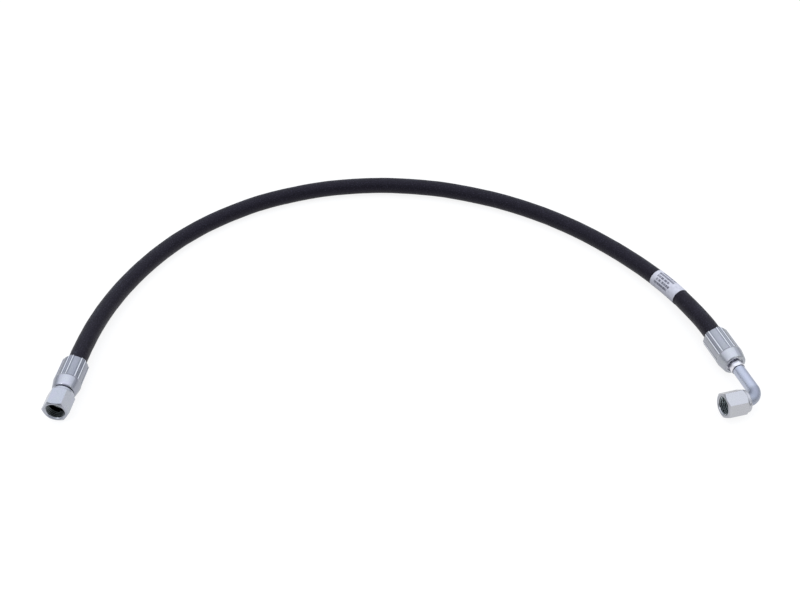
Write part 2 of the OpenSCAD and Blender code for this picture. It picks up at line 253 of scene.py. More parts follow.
def rolled(path, length, start, end, radius_at, around=48, step=0.8, lap=0.0):
    """A sheet rolled round the path from `start` to `end` mm along it; its UV map runs along and around."""
    bm = bmesh.new()
    bm.loops.layers.uv.new("wrap")
    rings = round((end - start) / step)
    bmesh.ops.create_grid(bm, x_segments=rings, y_segments=around, size=0.5, calc_uvs=True)
    low = min(v.co.x for v in bm.verts)
    span = max(v.co.x for v in bm.verts) - low
    per = length / (len(path) - 1)
    frames = {}
    for v in bm.verts:
        share, turn = (v.co.x - low) / span, (v.co.y + 0.5) * (1 + lap)
        s = start + (end - start) * share
        key = round(s * 1000)
        if key not in frames:
            at = min(max(s / per, 0), len(path) - 1 - 1e-6)
            i = int(at)
            centre = path[i].lerp(path[i + 1], at - i)
            along = (path[min(i + 2, len(path) - 1)] - path[max(i - 1, 0)]).normalized()
            side = along.cross(Vector((0, 0, 1))).normalized()
            frames[key] = centre, side, side.cross(along)
        centre, side, up = frames[key]
        a = turn * tau - pi / 2  # the seam lies underneath
        v.co = centre + radius_at(s, turn) * (cos(a) * side + sin(a) * up)
    return bm


LAP_PITCH, TAPE_STEP = 27.0, 0.07  # of the wrapping tape


def cover_radius(length):
    """The cover's radius: squeezed in the ferrules, with the low spiral step that the wrapping tape leaves.
    """
    free_a = STRAIGHT_END["crimp"] + STOP_PAST_CRIMP
    free_b = length - ELBOW_END["crimp"] - STOP_PAST_CRIMP

    def radius(s, turn):
        inside = max(free_a - s, s - free_b)
        squeeze = (HOSE_R - PRESSED_R) * smooth_step((inside - 1.5) / 2.5)
        phase = (s / LAP_PITCH + turn) % 1.0
        tape_step = TAPE_STEP * (1 - phase) * smooth_step(phase / 0.03)
        return HOSE_R - TAPE_STEP - squeeze + tape_step + 0.02 * sin(s * 0.31 + 5 * sin(s * 0.013))

    return radius


def make_hose(path, length, material):
    bm = rolled(path, length, 0, length, cover_radius(length))
    bmesh.ops.remove_doubles(bm, verts=bm.verts, dist=1e-3)
    bmesh.ops.holes_fill(bm, edges=[e for e in bm.edges if e.is_boundary], sides=0)
    nodes = ("hose_cover", "hose_outer_braid", "hose_friction_layer", "hose_inner_braid", "hose_inner_tube")
    return finish_piece("hose", bm, Matrix(), material, stands_for=nodes, sharp=60)


def nearest_run(path, length, x, y):
    """How far along the path its nearest point to (x, y) is."""
    best = min(range(len(path)), key=lambda i: hypot(path[i].x - x, path[i].y - y))
    return length * best / (len(path) - 1)


def make_label(path, length, material):
    """A film wrapped once round the hose, with a short lap, worn a little at both ends."""
    start, end = (nearest_run(path, length, *p) for p in (LABEL_START, LABEL_END))

    def radius(s, turn):
        worn = 0.03 * sin(s * 0.9 + turn * 9) * smooth_step(1 - min(s - start, end - s) / 2.0)
        return HOSE_R + 0.1 + 0.09 * (turn > 1.0) + 0.05 * turn + worn

    bm = rolled(path, length, start, end, radius, around=56, step=0.65, lap=0.06)
    label = finish_piece("wrap_label", bm, Matrix(), material,
                         stands_for=("label_sleeve",), sharp=60)
    thick = label.modifiers.new("film", "SOLIDIFY")
    thick.thickness, thick.offset = 0.12 * MM, 0
    return label


# ---------------------------------------------------------------- ferrules
DIES = 6
LAND_R, GAP_R, LIP_R, NOSE_R = 10.3, 10.5, 10.8, 11.0
LIP_W, LIP_GAP = 0.9, 2.7
LIP_OFF = (LIP_W + LIP_GAP) / 2  # from the middle of a band to its lips
SCALLOPS = 1.2                   # height over which the mouth is scalloped
PIT_DEEP, PIT_R, RIM_TALL, RIM_R, RIM_W = 0.22, 0.42, 0.09, 0.75, 0.25  # of a punch mark


def ferrule_outline(crimp):
    """Half outline of a ferrule: crimped skin, ramp and nose outside, then the bore back to the mouth."""
    total, stop = crimp + NOSE_LEN, crimp + STOP_PAST_CRIMP
    skin = [(LAND_R, z) for z in levels(0.35, crimp - 0.4, 0.8)]
    ramp = [(LAND_R + (NOSE_R - LAND_R) * smooth_step((z - crimp + 0.4) / 1.8), z)
            for z in levels(crimp - 0.2, crimp + 1.4, 0.2)]
    nose = arc(8.0, total - 1.6, 1.6, 15, 90, 8)
    slope = [(NOSE_R, crimp + 2.0), (NOSE_R - 0.02, crimp + 2.25)]
    front = [(7.9, total), (7.1, total - 0.25), (7.1, stop + 3.0), (5.2, stop + 3.0), (4.5, stop + 2.85),
             (4.5, stop + 1.0), (5.2, stop + 0.95), (PRESSED_R + 0.15, stop + 0.15),
             (PRESSED_R + 0.15, 6.5), (HOSE_R + 0.12, PRESS_EDGE), (HOSE_R + 0.12, 0.5), (HOSE_R + 0.5, 0)]
    return [(LAND_R - 0.35, 0), (LAND_R - 0.08, 0.1)] + skin + ramp + slope + nose + front


def nose_painted_highlight(angle, painted_highlight_angles):
    """Where the nose keeps its painted highlight: one between the two given angles, in degrees, and zero
    outside them.
    """
    low, high = painted_highlight_angles
    at = degrees(angle % tau)
    return smooth_step(at - low) * smooth_step(high - at)


def dot_height(angle, z, dots):
    """The small punch marks: a pit with a raised rim."""
    height = 0.0
    for dot_angle, dot_z in dots:
        turn = (angle - radians(dot_angle) + pi) % tau - pi
        d = hypot(turn * LAND_R, z - dot_z)
        height += -PIT_DEEP * exp(-(d / PIT_R) ** 2) + RIM_TALL * exp(-((d - RIM_R) / RIM_W) ** 2)
    return height


def press_dies(bm, crimp, dies_turn, painted_highlight_angles, dots=()):
    """Leaves a low band between each two dies, with a rounded lip along both edges and a scalloped mouth.

    The attribute written here says how far the plate is darkened: lands half, dulled by the dies; the lips'
    feet fully, as painted shade in their creases; crests, below zero, get a painted highlight instead. The
    nose is painted darker outside the two given angles, which keep a painted highlight.
    """
    pressed = bm.verts.layers.float.new("pressed")
    for v in bm.verts:
        x, y, z = v.co
        r, angle = hypot(x, y), atan2(y, x)
        # painted shade: the nose is darkened everywhere except between its two given angles, which keep a
        # painted highlight
        if z > crimp + 0.3 and r > 7.5:
            v[pressed] = 0.42 * (1 - nose_painted_highlight(angle, painted_highlight_angles)) * smooth_step((z - crimp - 0.3) / 0.8)
        if z > crimp + 1.5 or r < HOSE_R + 0.2 or (z > 0.6 and r < LAND_R - 0.6):
            continue
        die = (angle - radians(dies_turn)) / tau * DIES - 0.5
        near = round(die)
        off = (die - near) * tau / DIES * LAND_R
        from_lip = abs(abs(off) - LIP_OFF)
        if r > LAND_R - 0.6:
            band = smooth_step((LIP_OFF - abs(off)) / 0.5)
            lip = smooth_step(1.2 - from_lip / 0.62)
            uneven = 0.07 * sin(near * 2.4 + 0.7) * (1 if off > 0 else -1)
            swell = 0.2 * exp(-((z - crimp + 0.7) / 0.8) ** 2) - 0.25 * smooth_step(1 - z / SCALLOPS)
            height = max((GAP_R - LAND_R) * band, (LIP_R - LAND_R + uneven + swell) * lip)
            hollow = 0.05 * smooth_step((abs(off) - 2.4) / 2.4) + 0.012 * sin(z * 2.1 + near * 3)
            new_r = max(r - hollow * smooth_step((crimp - z) / 1.5), min(r, LAND_R) + height)
            new_r += dot_height(angle, z, dots)
            v.co.x, v.co.y = x * new_r / r, y * new_r / r
            # painted highlight on the lips' crests and painted shade in the creases at their feet; the lands
            # are dulled by the dies
            crest_painted_highlight = smooth_step(1.15 - from_lip / 0.5)
            foot_painted_shade = exp(-((from_lip - 0.95) / 0.28) ** 2)
            if z < crimp + 0.3:
                lip_dulling_and_painted_light = (0.5 + 0.5 * foot_painted_shade) * (1 - crest_painted_highlight) - crest_painted_highlight
                v[pressed] = lip_dulling_and_painted_light * smooth_step((crimp + 0.3 - z) / 0.9)
        if z < SCALLOPS:
            reach = smooth_step((r - HOSE_R) / 2.2) * (1 - z / SCALLOPS)
            v.co.z += (0.3 - 0.75 * smooth_step((2.9 - abs(off)) / 1.4)) * reach


def make_ferrule(name, end, place, material, node, dots=()):
    """A turned shell with the dies' marks crimped in; `dots` are punch marks as (angle, height)."""
    bm = turned(ferrule_outline(end["crimp"]), steps=432)
    press_dies(bm, end["crimp"], end["dies_turn"], end["painted_highlight_angles"], dots)
    return finish_piece(name, bm, place, material, stands_for=(node,), sharp=50)


# ---------------------------------------------------------------- insert collar, bent tube, braze ring
BARBS_FROM, BARB_PITCH = 2.5, 3.6


def insert_outline(stop):
    """Half outline of the elbow's insert: barbs, rib, lock groove and the collar that takes the tube."""
    bore, root, barb, groove = 2.1, 2.96, 3.3, 4.3
    n = int((stop - BARBS_FROM) / BARB_PITCH) - 1
    z0 = stop - 0.8 - n * BARB_PITCH
    tail = [(bore, BARBS_FROM), (root - 0.17, BARBS_FROM), (root, BARBS_FROM + 0.35)]
    for i in range(n):
        z = z0 + i * BARB_PITCH
        tail += [(root, z), (barb, z + BARB_PITCH * 0.75), (barb, z + BARB_PITCH * 0.85),
                 (root, z + BARB_PITCH * 0.9)]
    start = stop + 3.0
    collar = [(root, stop), (TUBE_R, stop), (TUBE_R, stop + 0.8), (groove, stop + 0.8), (groove, start),
              (COLLAR_R, start), (COLLAR_R, COLLAR_END - COLLAR_CORNER),
              (COLLAR_R - COLLAR_CORNER, COLLAR_END)]
    socket_r, socket_end = TUBE_R + 0.03, COLLAR_END - STEM_SOCKET
    socket = [(socket_r, COLLAR_END), (socket_r, socket_end), (bore, socket_end)]
    return tail + collar + socket


def make_insert_b(material):
    """The elbow's insert, turned, with six small flats cut on its collar."""
    bm = turned(insert_outline(ELBOW_END["crimp"] + STOP_PAST_CRIMP), steps=96)
    cut_flats(bm, COLLAR_AF, COLLAR_TURN)
    soften(bm, 0.12, 24, segments=2)
    return finish_piece("collar_insert", bm, PLACE_B, material,
                        stands_for=("insert_b",), sharp=40, weighted=True)


TUBE_BORE_R = 3.5
STEM_PAST_SEAT = 3.92 + 2.6  # the tube's end, from the cone's seat into its head


def make_elbow_tube(material):
    """A length of tube drawn out straight, bent round a quarter and drawn out again."""
    bm = bmesh.new()
    ends = []
    for radius in (TUBE_R, TUBE_BORE_R):
        z0 = COLLAR_END - STEM_SOCKET + 0.1
        ring = bmesh.ops.create_circle(bm, cap_ends=False, radius=radius, segments=64,
                                       matrix=Matrix.Translation((0, 0, z0)))["verts"]
        first = list({e for v in ring for e in v.link_edges})
        geom = first + ring
        for z in levels(z0, BEND_START, 2.0)[1:]:
            verts, loop = drawn_on(bm, geom)
            bmesh.ops.translate(bm, verts=verts, vec=(0, 0, z - verts[0].co.z))
            geom = verts + loop
        bent = bmesh.ops.spin(bm, geom=geom, cent=(0, -BEND_R, BEND_START), axis=(1, 0, 0), dvec=(0, 0, 0),
                              angle=pi / 2, steps=36, use_merge=False, use_duplicate=False)["geom_last"]
        verts, last = drawn_on(bm, bent)
        bmesh.ops.translate(bm, verts=verts, vec=(0, -(SEAT_GAP + STEM_PAST_SEAT), 0))
        ends.append((first, last))
    for i in (0, 1):
        bmesh.ops.bridge_loops(bm, edges=ends[0][i] + ends[1][i])
    for v in bm.verts:  # the bend's outer side is drawn a little flat
        dy, dz = v.co.y + BEND_R, v.co.z - BEND_START
        if dz > 0 and dy > 0:
            out = hypot(dy, dz) - BEND_R
            if out > 0:
                pull = 0.10 * sin(2 * atan2(dz, dy)) ** 2 * out / TUBE_R
                k = (hypot(dy, dz) - pull) / hypot(dy, dz)
                v.co.y, v.co.z = dy * k - BEND_R, dz * k + BEND_START
    pressed = bm.verts.layers.float.new("pressed")
    for v in bm.verts:  # the tube is darker from its bend on
        v[pressed] = 0.8 * smooth_step((v.co.z - BEND_START + 1.0) / 4.0)
    return finish_piece("bent_tube", bm, PLACE_B, material,
                        stands_for=("elbow_tube",), sharp=60)


BRAZE_R, BRAZE_TALL = 5.38, 0.6


def make_braze_ring(material):
    """The fillet of braze between the collar and the tube."""
    curve = [(BRAZE_R - 0.36 * sin(radians(a)), BRAZE_TALL * (1 - cos(radians(a)))) for a in (25, 50, 75)]
    fillet = [(TUBE_R + 0.02, 0), (BRAZE_R, 0), *curve, (TUBE_R + 0.02, BRAZE_TALL)]
    bm = turned(fillet, steps=64)
    place = PLACE_B @ Matrix.Translation((0, 0, COLLAR_END))
    return finish_piece("braze_ring", bm, place, material, stands_for=("stem_braze",))


# ---------------------------------------------------------------- swivel nuts
THREAD_MINOR, THREAD_MAJOR, THREAD_PITCH = 7.2, 8.0, 1.5
MOUTH_CHAMFER, THREAD_LEN = 0.9, 8.0
NECK_R, NUT_REAR_R = 5.06, 9.1
REAR_ROUND, RELIEF_R = 1.2, 8.0
THREAD_STEPS = 48  # to a turn


def make_nut(name, place, turn, material, node, body):
    """A turned blank with a rounded rear and a chamfered front, cut to six flats, with its edges broken."""
    corner, front_r = NUT_AF / 2 / cos(radians(30)), 0.47 * NUT_AF
    over = corner + 0.1  # the blank is turned a little larger than the corners, then cut to six flats
    chamfer_end = NUT_LEN - MOUTH_CHAMFER
    rear = arc(NUT_REAR_R - REAR_ROUND, REAR_ROUND, REAR_ROUND, -90, 0, 6)
    outside = [(NUT_REAR_R, 2.8), (over, 2.8 + over - NUT_REAR_R),
               (over, NUT_LEN - (over - front_r) * tan(radians(30))), (front_r, NUT_LEN)]
    mouth = [(THREAD_MINOR + MOUTH_CHAMFER, NUT_LEN), (THREAD_MINOR, chamfer_end),
             (THREAD_MINOR, chamfer_end - 0.15)]
    bore = [(THREAD_MAJOR + 0.03, chamfer_end - 0.6), (THREAD_MAJOR + 0.03, chamfer_end - THREAD_LEN - 0.35),
            (RELIEF_R, 6.45), (NECK_R, 3.5), (NECK_R, 0.4), (NECK_R + 0.4, 0)]
    outline = rear + outside + mouth + bore
    bm = turned(outline, steps=120)
    cut_flats(bm, NUT_AF, turn)
    soften(bm, 0.2, 24, segments=2)
    return finish_piece(name, bm, place, material, body=body, stands_for=(node,), sharp=40,
                        weighted=True)


def make_thread(name, place, material, body):
    """The nut's inner thread: one V ridge wound up the wall, from the relief to the mouth's chamfer."""
    bm = bmesh.new()
    end = NUT_LEN - MOUTH_CHAMFER
    start = end - THREAD_LEN
    deep = THREAD_MAJOR + 0.06
    half = THREAD_PITCH / 2
    ridge = [(deep, -half * 0.92), (THREAD_MINOR, -half * 0.2),
             (THREAD_MINOR, half * 0.2), (deep, half * 0.92)]
    low = start + half
    turns = (end - 0.4 - low) / THREAD_PITCH
    steps = round(turns * THREAD_STEPS)
    verts = [bm.verts.new((r, 0, low + z)) for r, z in ridge]
    edges = [bm.edges.new(pair) for pair in zip(verts, verts[1:] + verts[:1])]
    bmesh.ops.spin(bm, geom=verts + edges, cent=(0, 0, 0), axis=(0, 0, 1),
                   dvec=(0, 0, THREAD_PITCH * turns / steps), angle=tau * turns, steps=steps,
                   use_merge=False, use_duplicate=False)
    bmesh.ops.holes_fill(bm, edges=[e for e in bm.edges if e.is_boundary], sides=4)
    for v in bm.verts:
        x, y, z = v.co
        r = hypot(x, y)
        # the ridge runs out at its start
        need = THREAD_MINOR + 0.9 * smooth_step(1 - (z - start - 0.1) / 0.9)
        if r < need:
            v.co.x, v.co.y = x * min(need, deep) / r, y * min(need, deep) / r
    return finish_piece(name, bm, place, material, body=body, sharp=50)


# ---------------------------------------------------------------- shader helpers
def new_material(name):
    material = bpy.data.materials.new(name)
    material.use_nodes = True
    tree = material.node_tree
    tree.nodes.clear()
    return material, tree


def add(tree, kind, **values):
    """Adds a node; each value sets the node's own property of that name, or else its socket."""
    node = tree.nodes.new("ShaderNode" + kind)
    for key, value in values.items():
        name = key.replace("_", " ")
        if hasattr(node, key):
            setattr(node, key, value)
        elif name in node.inputs:
            node.inputs[name].default_value = value
        else:
            raise KeyError(f"{kind} has no {key}")
    return node


def join(tree, *pairs):
    for source, target in pairs:
        tree.links.new(source, target)


def feed(tree, value, socket):
    """Links another socket's result to a socket, or sets a number or a colour on it."""
    if isinstance(value, bpy.types.NodeSocket):
        tree.links.new(value, socket)
    elif isinstance(value, (int, float)):
        socket.default_value = value
    else:
        socket.default_value = (*value, 1)


def maths(tree, kind, *values):
    node = tree.nodes.new("ShaderNodeMath")
    node.operation = kind
    for socket, value in zip(node.inputs, values):
        feed(tree, value, socket)
    return node.outputs[0]


def plus(tree, a, b):
    return maths(tree, "ADD", a, b)


def minus(tree, a, b):
    return maths(tree, "SUBTRACT", a, b)


def times(tree, first, *others):
    for value in others:
        first = maths(tree, "MULTIPLY", first, value)
    return first


def wave(tree, value, middle, swing, rate):
    return plus(tree, middle, times(tree, maths(tree, "SINE", times(tree, value, rate)), swing))


def blended(tree, share, first, second):
    """Mixes two colours by a share; each may be a socket."""
    node = tree.nodes.new("ShaderNodeMix")
    node.data_type = "RGBA"
    for socket, value in ((node.inputs[0], share), (node.inputs[6], first), (node.inputs[7], second)):
        feed(tree, value, socket)
    return node.outputs[2]


def ranged(tree, value, low, high, to_low=0.0, to_high=1.0):
    """Maps a value from low..high to to_low..to_high and holds it there."""
    node = tree.nodes.new("ShaderNodeMapRange")
    tree.links.new(value, node.inputs["Value"])
    for name, number in (("From Min", low), ("From Max", high), ("To Min", to_low), ("To Max", to_high)):
        node.inputs[name].default_value = number
    return node.outputs[0]


def stretched(tree, place, scale):
    node = add(tree, "Mapping", Scale=scale)
    join(tree, (place, node.inputs["Vector"]))
    return node.outputs["Vector"]


def noise(tree, place, dimensions="3D", **values):
    """Noise at a place, which is a single length in one dimension."""
    node = add(tree, "TexNoise", noise_dimensions=dimensions, **values)
    join(tree, (place, node.inputs["W" if dimensions == "1D" else "Vector"]))
    return node.outputs["Fac"]


def in_mm(tree):
    """Object coordinates in millimetres."""
    return stretched(tree, add(tree, "TexCoord").outputs["Object"], (1000, 1000, 1000))


def on_wrap(tree):
    """Where a point lies on a rolled sheet: its share of the length and of the turn."""
    split = add(tree, "SeparateXYZ")
    join(tree, (add(tree, "UVMap", uv_map="wrap").outputs[0], split.inputs[0]))
    return split.outputs["X"], split.outputs["Y"]


def on_sheet(tree, x, y):
    """A place on a flat sheet, from its two lengths."""
    node = add(tree, "CombineXYZ")
    join(tree, (x, node.inputs["X"]), (y, node.inputs["Y"]))
    return node.outputs[0]


def radius_of(tree, place):
    """The distance from the z axis."""
    flat = add(tree, "VectorMath", operation="MULTIPLY")
    flat.inputs[1].default_value = (1, 1, 0)
    length = add(tree, "VectorMath", operation="LENGTH")
    join(tree, (place, flat.inputs[0]), (flat.outputs[0], length.inputs[0]))
    return length.outputs["Value"]


def surface(tree, colour, rough, height=None, strength=0.0, depth_mm=0.1, **values):
    """Ends a material: one shader with its colour, its roughness and, given a height, its fine relief."""
    shader = add(tree, "BsdfPrincipled", **values)
    join(tree, (colour, shader.inputs["Base Color"]),
         (shader.outputs[0], add(tree, "OutputMaterial").inputs["Surface"]))
    feed(tree, rough, shader.inputs["Roughness"])
    if height is not None:
        relief = add(tree, "Bump", Strength=strength, Distance=depth_mm * MM)
        join(tree, (height, relief.inputs["Height"]), (relief.outputs[0], shader.inputs["Normal"]))


def shader_group(name, inputs, outputs):
    group = bpy.data.node_groups.new(name, "ShaderNodeTree")
    for label, kind, value in inputs:
        socket = group.interface.new_socket(label, in_out="INPUT", socket_type=kind)
        if value is not None:
            socket.default_value = value
    for label, kind in outputs:
        group.interface.new_socket(label, in_out="OUTPUT", socket_type=kind)
    return group, group.nodes.new("NodeGroupInput").outputs, group.nodes.new("NodeGroupOutput").inputs


# ---------------------------------------------------------------- plated steel
VIOLET_DRIFT, YELLOW_DRIFT, HANDLED = (.55, .48, .62), (.50, .52, .47), (.30, .32, .37)
# painted shade: near black in the thread's roots, and a darker front face on the nuts
THREAD_ROOT_PAINTED_SHADE, FRONT_FACE_PAINTED_SHADE = (.01, .012, .014), (.30, .31, .35)
# the dulled colour: the dies' dulling on the lands, painted shade in the creases and on the nose, and the
# tube's darker bend; the crest colour is a painted highlight
DULLED_AND_PAINTED_SHADE, PAINTED_CREST_HIGHLIGHT = (.10, .115, .15), (.82, .84, .88)
NO_BORE_SHADING, NO_FACE = (.2, .2, .2), 1000.0  # for a piece that has no bore to paint shade or light into, and no front face to paint darker


def zinc_plate_group():
    """Bright zinc plate: it drifts to violet and yellow, with handling marks, a bore painted darker or
    lighter, near-black painted shade in the thread's roots and a front face painted darker.
    """
    group, given, out = shader_group(
        "zinc plate",
        [("Place", "NodeSocketVector", None), ("Colour", "NodeSocketColor", (.6, .62, .68, 1)),
         ("Roughness", "NodeSocketFloat", .3), ("Drift", "NodeSocketFloat", .35),
         ("Marks", "NodeSocketFloat", .3), ("Turning", "NodeSocketFloat", 0.0),
         ("Bore", "NodeSocketFloat", 0.0), ("Bore depth", "NodeSocketFloat", 0.0),
         ("Bore painted shading", "NodeSocketColor", (*NO_BORE_SHADING, 1)), ("Face", "NodeSocketFloat", NO_FACE)],
        [("Colour", "NodeSocketColor"), ("Roughness", "NodeSocketFloat"), ("Height", "NodeSocketFloat")])
    place, colour = given["Place"], given["Colour"]
    cloud = noise(group, place, Scale=0.22, Detail=3, Roughness=0.55)
    fine = noise(group, place, Scale=2.6, Detail=5, Roughness=0.6)
    for pattern, low, high, amount, tint in ((cloud, 0.52, 0.72, "Drift", VIOLET_DRIFT),
                                             (cloud, 0.46, 0.30, "Drift", YELLOW_DRIFT),
                                             (fine, 0.58, 0.72, "Marks", HANDLED)):
        colour = blended(group, times(group, ranged(group, pattern, low, high), given[amount]), colour, tint)
    split = add(group, "SeparateXYZ")
    join(group, (place, split.inputs[0]))
    z, from_bore = split.outputs["Z"], minus(group, radius_of(group, place), given["Bore"])
    # painted light and shade in the bore: the wall takes the given bore colour, with near-black painted shade
    # in the thread's roots
    inside = times(group, ranged(group, from_bore, 0.12, -0.12),
                   ranged(group, minus(group, z, given["Bore depth"]), 0.1, -0.35))
    root = ranged(group, from_bore, -0.75, -0.2)
    thread = blended(group, times(group, root, 0.8), given["Bore painted shading"], THREAD_ROOT_PAINTED_SHADE)
    colour = blended(group, inside, colour, thread)
    # painted shade: the front face is painted darker, standing in for the dim floor it reflects
    face = ranged(group, minus(group, z, given["Face"]), -0.9, -0.1)
    colour = blended(group, times(group, face, 0.55), colour, FRONT_FACE_PAINTED_SHADE)
    rings = noise(group, z, "1D", Scale=3.2, Detail=4, Roughness=0.75)
    turning = times(group, minus(group, rings, 0.5), given["Turning"])
    rough = plus(group, given["Roughness"], times(group, minus(group, fine, 0.5), 0.25))
    height = plus(group, turning, times(group, fine, 0.12))
    join(group, (colour, out["Colour"]), (rough, out["Roughness"]), (height, out["Height"]))
    return group


def plated_metal(name, plate, colour, roughness, drift=0.35, marks=0.3, turning=0.0, bump=0.25, bore=0.0,
                 bore_depth=0.0, bore_painted_shading=NO_BORE_SHADING, face=NO_FACE, dulling_and_painted_shade=None, metallic=1.0, own=True):
    """The plate on a piece. It follows the piece's own axis, or the row's frame where `own` is false."""
    material, tree = new_material(name)
    place = add(tree, "Attribute", attribute_name="own_mm").outputs["Vector"] if own else in_mm(tree)
    finish = tree.nodes.new("ShaderNodeGroup")
    finish.node_tree = plate
    for key, value in (("Colour", colour), ("Roughness", roughness), ("Drift", drift), ("Marks", marks),
                       ("Turning", turning), ("Bore", bore), ("Bore depth", bore_depth),
                       ("Bore painted shading", bore_painted_shading), ("Face", face), ("Place", place)):
        feed(tree, value, finish.inputs[key])
    colour, rough = finish.outputs["Colour"], finish.outputs["Roughness"]
    if dulling_and_painted_shade:  # the dies dull the lands, with drag marks along the piece; the rest is painted shade and painted highlight
        drag = noise(tree, stretched(tree, place, (2.4, 2.4, 0.3)), Scale=1.0, Detail=4, Roughness=0.65)
        pressed = add(tree, "Attribute", attribute_name="pressed").outputs["Fac"]
        dulling_and_shade_share = times(tree, pressed, dulling_and_painted_shade, ranged(tree, drag, 0.3, 0.7, 1.2, 0.7))
        # painted shade at the lips' feet and on the nose outside its lit angles; the lands dulled by the
        # dies; the tube darker from its bend on
        colour = blended(tree, dulling_and_shade_share, colour, DULLED_AND_PAINTED_SHADE)
        # painted highlight on the lips' crests
        colour = blended(tree, times(tree, pressed, -0.9), colour, PAINTED_CREST_HIGHLIGHT)
        rough = plus(tree, rough, times(tree, pressed, 0.1))
    surface(tree, colour, rough, finish.outputs["Height"], strength=bump, Metallic=metallic)
    return material


# ---------------------------------------------------------------- rubber and film
RUBBER_DARK, RUBBER_LIGHT = (.0012, .0010, .0020), (.0030, .0026, .0046)
RIB_BLACK = (.0028, .0025, .0042)
TAPE_GREY, LAY_INK, DUST = (.0200, .0190, .0270), (.055, .060, .085), (.034, .032, .050)
CLOTH_ALONG, CLOTH_AROUND = 0.7, 0.8                # pitches of the tape's weave, in mm
TAPE_EDGE, LAY_AT, LAY_HALF = 0.035, 0.53, 0.036    # shares of the turn
PAPER, WORN_PAPER, PRINT_GREY = (.64, .64, .71), (.53, .53, .60), (.035, .04, .07)
ROWS, FIRST_ROW, ROW_PITCH, BAR_HALF = 7, 0.255, 0.062, 0.33


def hose_rubber(length):
    """Black cover cured under wrapping tape: cross ribs, the cloth's print, tape edges, a worn lay line."""
    material, tree = new_material("cover rubber")
    share, turn = on_wrap(tree)
    along, around = times(tree, share, length), times(tree, turn, tau * HOSE_R)
    sheet = on_sheet(tree, along, around)
    ribs = noise(tree, stretched(tree, sheet, (1.5, 0.22, 1)), "2D", Scale=1.0, Detail=4, Roughness=0.7)
    patches = noise(tree, sheet, "2D", Scale=0.07, Detail=3, Roughness=0.6)
    grain = noise(tree, sheet, "2D", Scale=0.9, Detail=3, Roughness=0.7)
    cloth = times(tree, maths(tree, "SINE", times(tree, along, tau / CLOTH_ALONG)),
                  maths(tree, "SINE", times(tree, around, tau / CLOTH_AROUND)))
    lap = maths(tree, "FRACT", plus(tree, maths(tree, "DIVIDE", along, LAP_PITCH), turn))
    tape_edge = maths(tree, "LESS_THAN", lap, TAPE_EDGE)
    # lay line: a row of worn, unreadable ticks along one side of the hose
    row = maths(tree, "LESS_THAN", maths(tree, "ABSOLUTE", minus(tree, turn, LAY_AT)), LAY_HALF)
    tick = ranged(tree, noise(tree, along, "1D", Scale=1.15, Detail=1, Roughness=0.4), 0.48, 0.56)
    word = ranged(tree, noise(tree, along, "1D", Scale=0.055, Detail=1, Roughness=0.3), 0.47, 0.53)
    lay_line = times(tree, row, tick, word, ranged(tree, grain, 0.35, 0.6))
    colour = blended(tree, ranged(tree, patches, 0.35, 0.7), RUBBER_DARK, RUBBER_LIGHT)
    for amount, tint in ((ranged(tree, ribs, 0.42, 0.62, 0, 0.7), RIB_BLACK),
                         (times(tree, tape_edge, 0.3), TAPE_GREY),
                         (times(tree, lay_line, 0.55), LAY_INK),
                         (ranged(tree, grain, 0.56, 0.66, 0, 0.8), DUST)):
        colour = blended(tree, amount, colour, tint)
    rough = ranged(tree, ribs, 0.3, 0.7, 0.56, 0.40)
    height = plus(tree, ribs, times(tree, cloth, 0.14))
    surface(tree, colour, rough, height, strength=0.55, depth_mm=0.25, Metallic=0.0,
            Specular_IOR_Level=0.24, Specular_Tint=(.80, .74, 1.0, 1))
    return material


def label_film():
    """White film with rows of grey greeked bars; the print has no letters."""
    material, tree = new_material("label film")
    along, around = on_wrap(tree)
    row_at = times(tree, minus(tree, around, FIRST_ROW), 1 / ROW_PITCH)
    row = maths(tree, "FLOOR", row_at)
    off_middle = maths(tree, "ABSOLUTE", minus(tree, maths(tree, "FRACT", row_at), 0.5))
    in_row = maths(tree, "LESS_THAN", off_middle, BAR_HALF)
    cell = on_sheet(tree, times(tree, along, 52.0), times(tree, row, 7.3))
    bars = ranged(tree, noise(tree, cell, "2D", Scale=1.0, Detail=1, Roughness=0.5), 0.36, 0.42)
    ends = times(tree, maths(tree, "GREATER_THAN", along, wave(tree, row, 0.14, 0.03, 1.7)),
                 maths(tree, "LESS_THAN", along, wave(tree, row, 0.66, 0.05, 2.3)))
    field = times(tree, maths(tree, "GREATER_THAN", row_at, 0.0), maths(tree, "LESS_THAN", row_at, ROWS))
    grime = noise(tree, in_mm(tree), Scale=0.35, Detail=4, Roughness=0.6)
    paper = blended(tree, ranged(tree, grime, 0.4, 0.7), PAPER, WORN_PAPER)
    colour = blended(tree, times(tree, in_row, bars, ends, field, 0.82), paper, PRINT_GREY)
    surface(tree, colour, 0.45, grime, strength=0.15, Metallic=0.0)
    return material


def seal_rubber():
    """Black rubber with a faint haze, for the O-rings."""
    material, tree = new_material("seal rubber")
    haze = noise(tree, in_mm(tree), Scale=1.5, Detail=2)
    colour = blended(tree, haze, (.008, .008, .009), (.02, .02, .022))
    surface(tree, colour, ranged(tree, haze, 0.3, 0.7, 0.3, 0.45), Metallic=0.0)
    return material


# ---------------------------------------------------------------- stage and light, in metres
FLOOR_HALF, FLOOR_DROP, FLOOR_GLOW, FLOOR_GREY = 3, 0.0002, 0.84, (.20, .20, .20, 1)
SKIRTING, WALLS, OVERHEAD, FRONT = 0.36, 1.07, 0.45, 0.46  # how bright the room is
ROOM_TINT = (.95, .985, 1.06, 1)
LAMP_SIZE = 0.3


